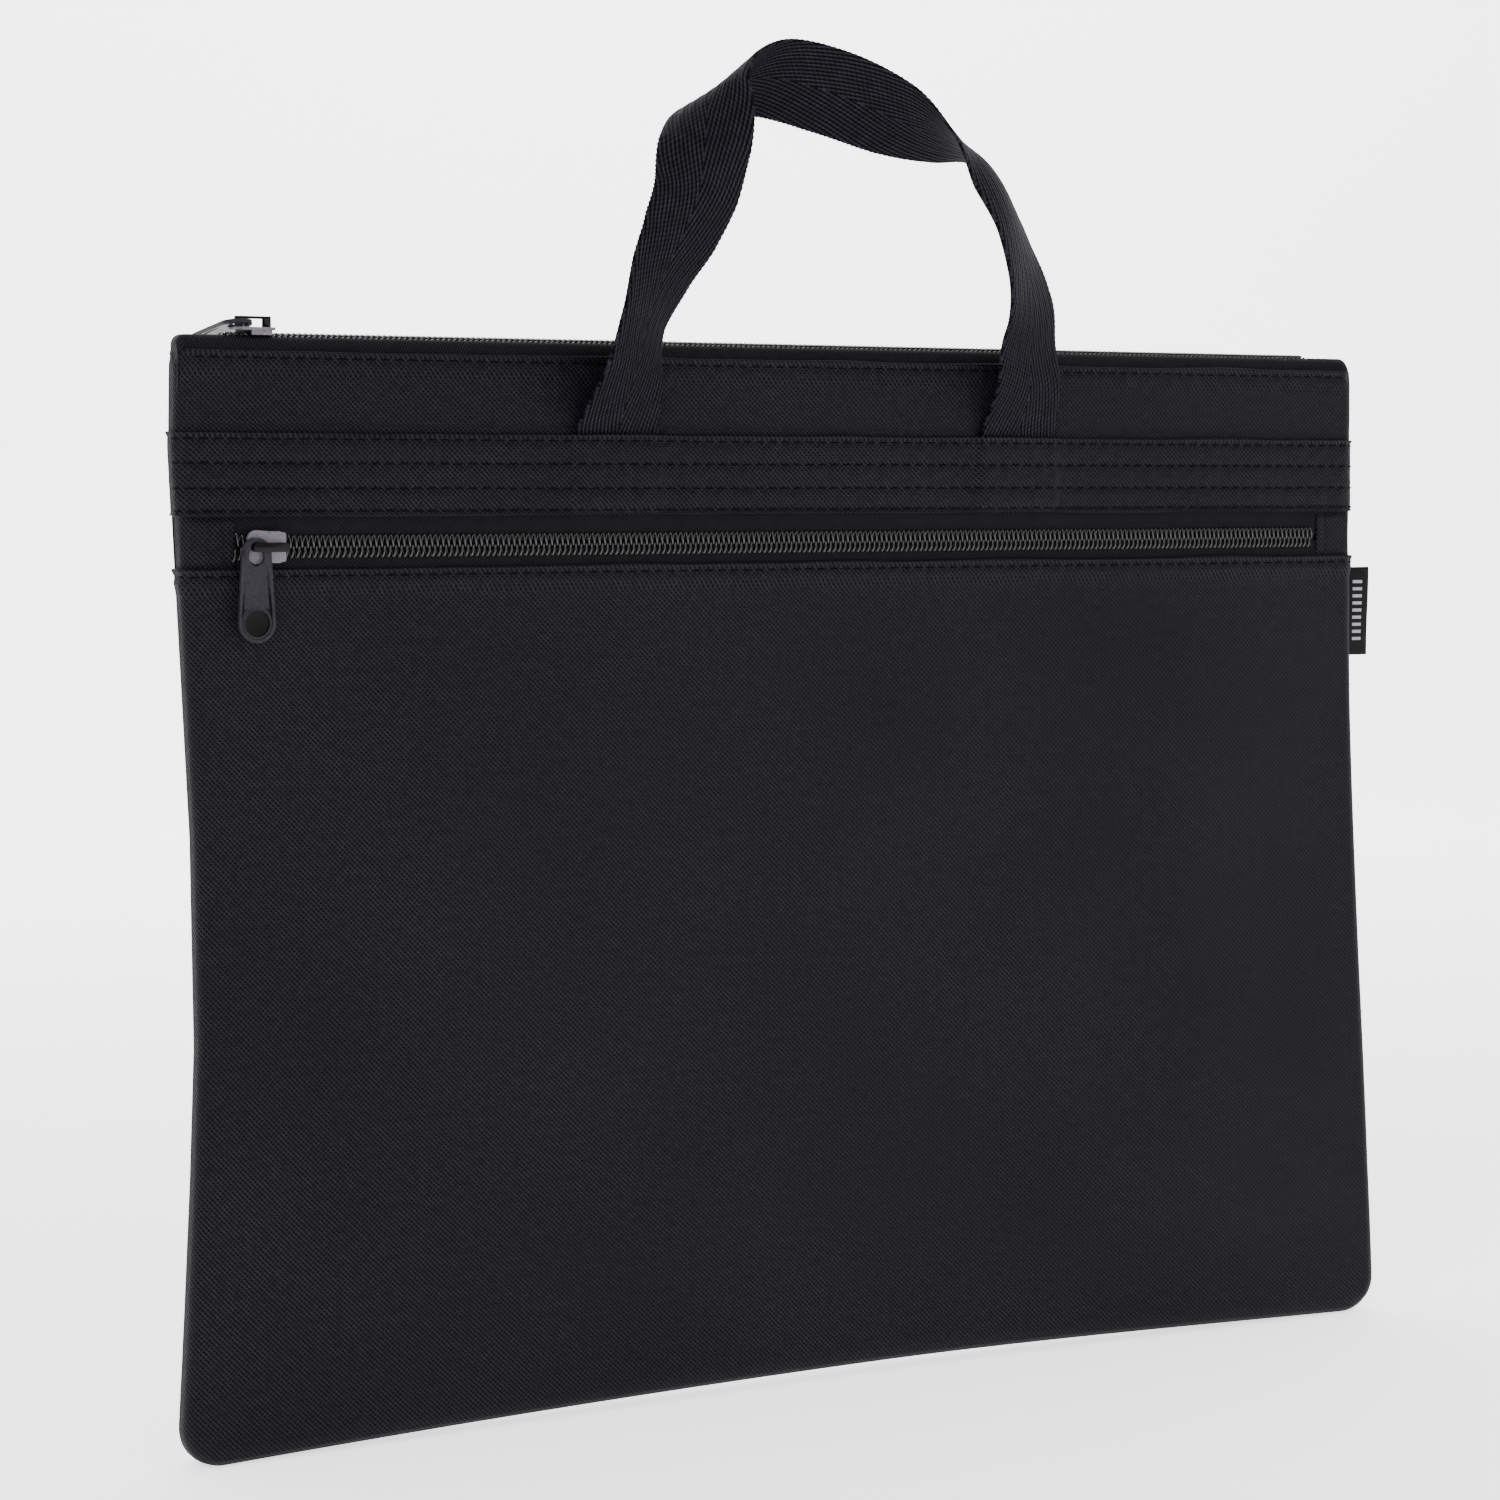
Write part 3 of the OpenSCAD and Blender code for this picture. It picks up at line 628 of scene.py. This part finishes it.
def finish(m, colour, rough_low, rough_high, by, specular):
    """Colour, shine, and a roughness that follows the pattern by."""
    m.put(m.shader.inputs["Base Color"], colour)
    m.put(m.shader.inputs["Roughness"], m.range(by, 0.2, 0.8, rough_low, rough_high))
    m.put(m.shader.inputs["Specular IOR Level"], specular)


def oxford(name, dark, light, pitch=0.00072):
    """Coated woven polyester: thick yarns over and under, with a fine grain along each yarn."""
    m = Nodes(name)
    place, u, v = m.flat()
    loose = m.noise(place, 60, 3)
    u2 = m.math("ADD", u, m.math("MULTIPLY", loose, 0.0003))
    falling = wave(m, m.math("ADD", m.math("ADD", u2, v), pitch / 2), 2 * pitch)
    rising = wave(m, m.math("ADD", m.math("SUBTRACT", u2, v), pitch / 2), 2 * pitch)
    over = m.math("MULTIPLY_ADD", falling, 0.32, m.math("MULTIPLY_ADD", rising, 0.18, 0.5))
    yarn = m.math("MULTIPLY", m.math("ABSOLUTE", wave(m, u2, 2 * pitch)),
                  m.math("ABSOLUTE", wave(m, v, 2 * pitch)))
    grain = m.noise(place, 2600, 2)
    height = m.math("ADD", m.math("MULTIPLY", over, 0.9), m.math("MULTIPLY", yarn, 0.45))
    height = m.math("ADD", height, m.math("MULTIPLY", grain, 0.25))
    broad = m.noise(place, 14, 3)
    mottled = m.noise(place, 420, 2)
    tone = m.math("MULTIPLY", m.range(height, 0.62, 1.15, 0.0, 1.0), m.range(mottled, 0.3, 0.7, 0.5, 1.0))
    colour = m.mix(tone, dark, light)
    colour = m.mix(m.range(broad, 0.35, 0.7, 0.0, 0.25), colour, dark)
    uneven = m.math("MULTIPLY_ADD", mottled, 0.6, m.math("MULTIPLY", grain, 0.4))
    finish(m, colour, 0.48, 0.7, uneven, specular=0.06)
    m.put(m.shader.inputs["Normal"], m.bump(height, 0.00016, 0.9, m.bump(broad, 0.0006, 0.5)))
    return m.material


def twill(name, dark, light, pitch, slope, dash, depth, herring=False):
    """Ribs that lean by slope, each a row of dashes; a herringbone leans the other way past the middle."""
    m = Nodes(name)
    place, u, v = m.flat()
    across = m.math("ABSOLUTE", u) if herring else u
    lean = m.math("SUBTRACT", across, m.math("MULTIPLY", v, slope))
    rib = wave(m, lean, pitch)
    cut = wave(m, m.math("ADD", v, m.math("MULTIPLY", across, dash / pitch / 2)), dash)
    height = m.math("ADD", m.math("MULTIPLY_ADD", rib, 0.4, 0.45), m.math("MULTIPLY", cut, 0.16))
    grain = m.noise(place, 2400, 2)
    mottled = m.noise(place, 300, 2)
    height = m.math("ADD", height, m.math("MULTIPLY", grain, 0.3))
    tone = m.math("MULTIPLY", m.range(height, 0.3, 1.0, 0.0, 1.0), m.range(mottled, 0.3, 0.7, 0.6, 1.0))
    uneven = m.math("MULTIPLY_ADD", mottled, 0.5, m.math("MULTIPLY", grain, 0.5))
    finish(m, m.mix(tone, dark, light), 0.5, 0.72, uneven, specular=0.03)
    m.put(m.shader.inputs["Normal"], m.bump(height, depth, 0.9))
    return m.material


def nylon(name, dark, light, low, high, specular=0.5):
    """Drawn plastic thread, finely streaked."""
    m = Nodes(name)
    place = m.add("ShaderNodeTexCoord").outputs["Object"]
    streak = m.noise(place, 900, 3)
    blotch = m.noise(place, 90, 2)
    finish(m, m.mix(blotch, dark, light), low, high, streak, specular=specular)
    m.put(m.shader.inputs["Normal"], m.bump(streak, 0.00005, 0.5))
    return m.material


def paint(name, dark, light, flake, low, high, pits, hole_shade_centre=None, specular=0.5):
    """Sprayed enamel with small flakes, pores and a slight orange peel; given a middle, it also paints a
    near-black disc of shade there, standing for the shade seen through the puller's hole.
    """
    m = Nodes(name)
    place = m.add("ShaderNodeTexCoord").outputs["Object"]
    cell = m.add("ShaderNodeTexVoronoi", Vector=place, Scale=flake)
    speck = m.math("POWER", m.range(cell.outputs["Distance"], 0.0, 0.6, 1.0, 0.0), 3.0)
    speck = m.math("MULTIPLY", speck, m.range(m.noise(place, flake * 0.4, 2), 0.45, 0.6, 0.0, 1.0))
    peel = m.noise(place, 1500, 3)
    worn = m.noise(place, 130, 3)
    pore = m.range(m.noise(place, 2300, 1), 0.28, 0.38, 1.0, 0.0)
    colour = m.mix(speck, m.mix(worn, dark, light), [min(1.0, 3.2 * c) for c in light[:3]] + [1.0])
    colour = m.mix(pore, colour, [0.4 * c for c in dark[:3]] + [1.0])
    # painted shade: near black inside the disc, where the puller's hole shows the shaded cloth behind it
    if hole_shade_centre:
        away = m.tree.nodes.new("ShaderNodeVectorMath")
        away.operation = "DISTANCE"
        m.put(away.inputs[0], place)
        m.put(away.inputs[1], hole_shade_centre)
        inside = m.range(away.outputs["Value"], HOLE_SHADE_RADIUS - 0.0001, HOLE_SHADE_RADIUS + 0.0001, 1.0, 0.0)
        colour = m.mix(inside, colour, grey(2, 2, 2))
    finish(m, colour, low, high, peel, specular=specular)
    m.put(m.shader.inputs["Normal"], m.bump(m.math("SUBTRACT", peel, pore), 0.00006, pits))
    return m.material


def within(m, value, middle, reach):
    """1 where the value is within reach of the middle."""
    return m.math("LESS_THAN", m.math("ABSOLUTE", m.math("SUBTRACT", value, middle)), reach)


def satin(name, dark, light, pale):
    """Satin ribbon with a column of equal woven dashes."""
    m = Nodes(name)
    place, u, v = m.flat()
    rib = wave(m, v, 0.0003)
    grain = m.noise(place, 3000, 2)
    # the column's middle and half size, along and across the ribbon
    inside = m.math("MULTIPLY", within(m, v, 0.0135, 0.0099), within(m, u, 0.0055, 0.0015))
    dash = m.math("MULTIPLY", inside, m.math("GREATER_THAN", wave(m, v, 0.0022), 0.25))
    finish(m, m.mix(dash, m.mix(grain, dark, light), pale), 0.4, 0.6, grain, specular=0.1)
    m.put(m.shader.inputs["Normal"], m.bump(m.math("ADD", rib, grain), 0.00004, 0.7))
    return m.material


def grey(r, g, b):
    """Linear colour from 0 to 255 screen values."""
    return [((c / 255 + 0.055) / 1.055) ** 2.4 if c > 10 else c / 3294 for c in (r, g, b)] + [1.0]


# painted shade of the pullers' holes, a near-black disc on each puller: the post, the disc's place below it,
# and the main puller's lean
POST_X, PULLER, LEAN = -SIDE_X + 20.7, 19.5, math.radians(8)
MAIN_POST_Z, POCKET_POST_Y = 297.2, -10.3
HOLE_SHADE_RADIUS = 0.0035
HOLE_SHADE_CENTRES = {"pocket_": (POST_X * MM, POCKET_POST_Y * MM, (ZIP_Z - PULLER) * MM),
        "main_": (POST_X * MM, PULLER * math.cos(LEAN) * MM, (MAIN_POST_Z - PULLER * math.sin(LEAN)) * MM)}

LOOKS = {
    "case_fabric": oxford("oxford_black", grey(2, 2, 3), grey(39, 37, 44)),
    "lining": oxford("lining_black", grey(5, 5, 6), grey(26, 25, 29), 0.0004),
    "zip_tape": twill("tape_black", grey(4, 4, 5), grey(32, 31, 35), 0.0008, 0.7, 0.0011, 0.00010),
    "webbing": twill("webbing_black", grey(2, 2, 3), grey(37, 34, 41), 0.00115, 0.2, 0.0015, 0.00022, True),
    "zip_coil": nylon("nylon_black", grey(3, 3, 4), grey(8, 8, 9), 0.16, 0.28, 0.5),
    "thread": nylon("thread_black", grey(2, 2, 3), grey(7, 7, 8), 0.6, 0.8, 0.05),
    "grey_paint": paint("paint_grey", grey(74, 69, 78), grey(94, 88, 98), 3200, 0.34, 0.55, 0.5),
    # the pullers' dark paint, each with the painted shade of its hole
    "dark_paint_hole_shade_main_": paint("paint_dark_hole_shade_main", grey(24, 23, 27), grey(40, 38, 44), 3600, 0.34, 0.5, 0.5,
                              HOLE_SHADE_CENTRES["main_"], 0.1),
    "dark_paint_hole_shade_pocket_": paint("paint_dark_hole_shade_pocket", grey(24, 23, 27), grey(40, 38, 44), 3600, 0.34, 0.5, 0.5,
                                HOLE_SHADE_CENTRES["pocket_"], 0.1),
    "black_paint": paint("paint_black", grey(3, 3, 4), grey(7, 7, 8), 2600, 0.1, 0.2, 0.3,
                         specular=0.14),
    "label": satin("satin_black", grey(3, 3, 4), grey(10, 10, 11), grey(150, 148, 156)),
}


def dress(piece, slot, look=None):
    """Give a piece its look, by default the one named after its slot."""
    piece.data.materials.clear()
    piece.data.materials.append(LOOKS[look or slot])


for pieces, slot in (
    ([front, pocket, back, band, *pocket_tabs, *main_tabs], "case_fabric"),
    ([divider, *bindings], "lining"),
    ([main_front, main_back, pocket_upper, pocket_lower], "zip_tape"),
    ([*main_coils, *pocket_coils], "zip_coil"),
    ([handle], "webbing"), ([label], "label"), (rows, "thread"),
):
    for piece in pieces:
        dress(piece, slot)
        if piece is not handle:
            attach(piece, "case")
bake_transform(handle)

for piece, nodes in (
    (front, ["front_panel"]), (pocket, ["pocket_panel"]), (back, ["back_panel"]), (band, ["handle_band"]),
    (divider, ["pocket_divider"]), (bindings[0], ["binding_left"]), (bindings[1], ["binding_right"]),
    (bindings[2], ["binding_bottom"]), (pocket_tabs[0], ["pocket_end_tab_left"]),
    (pocket_tabs[1], ["pocket_end_tab_right"]), (main_tabs[0], ["main_end_tab_left"]),
    (main_tabs[1], ["main_end_tab_right"]), (main_front, ["main_tape_front"]), (main_back, ["main_tape_back"]),
    (pocket_upper, ["pocket_tape_upper"]), (pocket_lower, ["pocket_tape_lower"]),
    (main_coils[0], ["main_coil_front"]), (main_coils[1], ["main_coil_back"]),
    (pocket_coils[0], ["pocket_coil_lower"]), (pocket_coils[1], ["pocket_coil_upper"]),
    (handle, ["handle_loop", "handle_tail_left", "handle_tail_right"]), (label, ["side_label"]),
    (rows[0], ["hem_stitches"]), (rows[2], ["pocket_stitches"]), (rows[3], ["band_stitches"]),
):
    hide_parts(*nodes)

for name, slot, look in (("slider_body", "grey_paint", None), ("slider_crown", "black_paint", None),
                         ("puller", "grey_paint", "dark_paint_hole_shade_")):
    for zip_name in ("main_", "pocket_"):
        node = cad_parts[zip_name + name]
        dress(node, slot, look + zip_name if look else None)
        weld = node.modifiers.new("weld", "WELD")
        weld.merge_threshold = 0.00001
        plane = node.modifiers.new("plane", "DECIMATE")
        plane.decimate_type, plane.angle_limit = "DISSOLVE", math.radians(3)
        bevel = node.modifiers.new("edges", "BEVEL")
        bevel.width, bevel.segments, bevel.angle_limit = 0.00022, 3, math.radians(40)
        for polygon in node.data.polygons:
            polygon.use_smooth = True


# ---------------------------------------------------------------- cloth as it was cut
def run(points):
    """Length in metres of a path given in millimetres."""
    return float(np.linalg.norm(np.diff(np.array(points, float), axis=0), axis=1).sum()) * MM


def cut(piece, width, length, held_by, *with_pieces):
    """Takes the width and length in metres of the flat cloth that a piece is sewn from, but does nothing with
    them; none of its arguments is used.
    """


girth = 2 * U_END * MM
cut(front, girth, 0.053, "pocket_divider", rows[0])
cut(pocket, girth, 0.256, "pocket_divider", rows[2])
cut(back, girth, 0.316, "pocket_divider", rows[1])
cut(band, girth - 2 * ALLOWANCE * MM, 0.031, "front_panel", *rows[3:])
cut(divider, 0.369, 0.258, "front_panel")
cut(handle, WEB_WIDTH * MM, 0.322, "handle_band")
cut(main_front, 0.374, run(tape_path), "front_panel")
cut(main_back, 0.374, run(tape_path), "back_panel")
cut(pocket_upper, 0.372, 0.0159, "front_panel")
cut(pocket_lower, 0.372, 0.0129, "pocket_panel")
for binding, long in zip(bindings, (0.261, 0.261, 0.344)):
    cut(binding, long, 0.0142, "back_panel")
cut(label, 0.024, 0.027, "back_panel")
for tab in pocket_tabs:
    cut(tab, 0.0205, 0.0156, "pocket_panel")
for tab in main_tabs:
    cut(tab, 0.0265, 0.0235, "back_panel")


# ---------------------------------------------------------------- studio
def studio_material(name, colour):
    """Pale paper that glows a little, so that it stays near white."""
    m = Nodes(name)
    m.put(m.shader.inputs["Emission Color"], (1, 1, 1, 1))
    m.put(m.shader.inputs["Emission Strength"], 1.5)
    place = m.add("ShaderNodeTexCoord").outputs["Object"]
    grain = m.noise(place, 3, 2)
    finish(m, colour, 0.85, 0.95, grain, specular=0.1)
    return m.material


# a floor that curves up into a wall behind the case, in metres
FLOOR_HALF, WALL_Y, CURVE, WALL_TOP = 9.0, 1.6, 0.9, 4.0
floor_path = [(-FLOOR_HALF, 0.0), (WALL_Y, 0.0)]
floor_path += [(WALL_Y + CURVE * math.sin(a), CURVE * (1 - math.cos(a)))
               for a in np.linspace(0, math.pi / 2, 16)[1:]]
floor_path.append((WALL_Y + CURVE, WALL_TOP))
points = [(x / MM, y / MM, z / MM) for x in (-FLOOR_HALF, FLOOR_HALF) for y, z in floor_path]
n = len(floor_path)
floor = mesh_object("studio_floor", points, [(i, i + 1, n + i + 1, n + i) for i in range(n - 1)])
floor.data.flip_normals()
floor.rotation_euler = (0, 0, math.radians(-28))
floor.data.materials.append(studio_material("studio_white", (0.97, 0.97, 0.975, 1)))

world = bpy.data.worlds.new("studio_world")
world.use_nodes = True
world.node_tree.nodes["Background"].inputs["Color"].default_value = (1, 1, 1, 1)
world.node_tree.nodes["Background"].inputs["Strength"].default_value = 0.8
bpy.context.scene.world = world


def soft_light(name, place, target, size, watts):
    """A rectangular lamp at a place, turned to face its target."""
    data = bpy.data.lights.new(name, "AREA")
    data.shape, data.size, data.size_y, data.energy = "RECTANGLE", size[0], size[1], watts
    lamp = bpy.data.objects.new(name, data)
    bpy.context.scene.collection.objects.link(lamp)
    lamp.location = place
    lamp.rotation_euler = (Vector(target) - Vector(place)).to_track_quat("-Z", "Y").to_euler()


soft_light("key", (-1.5, -1.3, 1.7), (0, 0, 0.15), (1.2, 1.2), 30)
soft_light("fill", (1.4, -1.7, 0.9), (0, 0, 0.15), (1.2, 1.6), 12)
soft_light("top", (0.1, 0.2, 1.9), (0, 0, 0.2), (1.6, 1.0), 14)
soft_light("backdrop", (0.4, 1.0, 1.6), (0.7, 2.4, 0.9), (2.0, 1.0), 60)

camera_data = bpy.data.cameras.new("camera")
camera_data.lens, camera_data.sensor_width = 85.5, 36
camera = bpy.data.objects.new("camera", camera_data)
bpy.context.scene.collection.objects.link(camera)
camera.location = (-0.511, -0.866, 0.256)
camera.rotation_euler = (math.radians(90 - 4.29), 0, math.radians(-29.65))
bpy.context.scene.camera = camera
